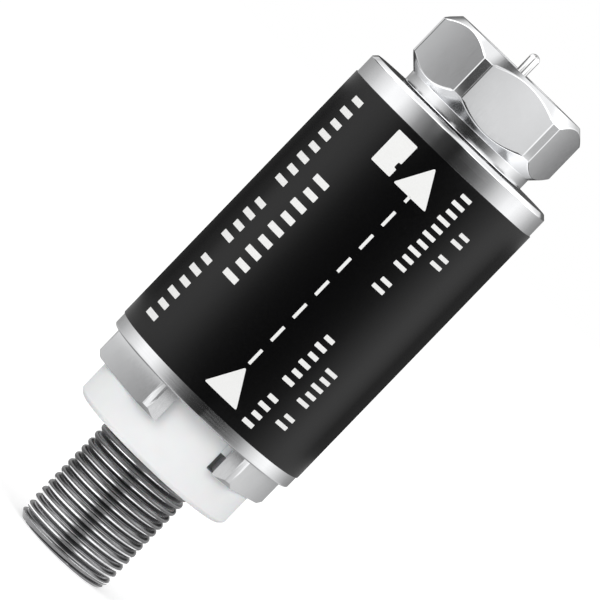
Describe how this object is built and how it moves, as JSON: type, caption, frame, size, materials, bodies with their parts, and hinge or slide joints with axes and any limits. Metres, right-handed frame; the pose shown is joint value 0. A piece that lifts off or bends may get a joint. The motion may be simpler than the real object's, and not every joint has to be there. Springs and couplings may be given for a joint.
{
  "type": "ground loop isolator",
  "caption": "In-line coaxial ground loop isolator: a round metal body with a threaded port on an insulating bush below, and a plug with a captive hex nut above.",
  "frame": {"origin": "centre of the threaded port's end face, on the axis", "axes": "+Z along the axis from the threaded port to the plug's pin; -Y is the side that the picture shows"},
  "size_m": [0.0197, 0.0196, 0.0565],
  "materials": {
    "nickel": "polished nickel plate",
    "port_nickel": "nickel plate over a rolled thread",
    "pin_metal": "drawn wire, satin",
    "black_label": "semi-gloss black film with pale print",
    "white_plastic": "smooth moulded plastic",
    "contact_brass": "satin",
    "clear_film": "satin film",
    "fibre": "matte pressed fibre",
    "ferrite": "ground ceramic, matte",
    "board_green": "solder mask",
    "capacitor_ceramic": "fired ceramic",
    "resistor_ceramic": "fired ceramic"
  },
  "bodies": {
    "adapter": {"bleed_resistor": "resistor_ceramic", "center_pin": "pin_metal", "circuit_board": "board_green", "end_cap": "nickel", "ferrite_sleeve": "ferrite", "front_dielectric": "white_plastic", "front_post": "nickel", "ground_capacitor_1": "capacitor_ceramic", "ground_capacitor_2": "capacitor_ceramic", "ground_capacitor_3": "capacitor_ceramic", "ground_capacitor_4": "capacitor_ceramic", "ground_capacitor_5": "capacitor_ceramic", "ground_capacitor_6": "capacitor_ceramic", "ground_capacitor_7": "capacitor_ceramic", "housing": "nickel", "inner_lead": "contact_brass", "inner_tube": "contact_brass", "insulating_cup": "fibre", "isolator_bush": "white_plastic", "label_sleeve": "black_label", "lead_insulation": "clear_film", "port_barrel": "port_nickel", "port_contact": "contact_brass", "port_dielectric": "white_plastic", "port_nut": "contact_brass", "port_rear_insulator": "white_plastic", "post_nut": "contact_brass", "signal_capacitor": "capacitor_ceramic"},
    "nut": {"coupling_nut": "nickel"}
  },
  "joints": [
    {"name": "nut_spin", "type": "hinge", "parent": "adapter", "child": "nut", "pos_m": [0, 0, 0.0511], "axis": [0, 0, 1], "continuous": true}
  ]
}
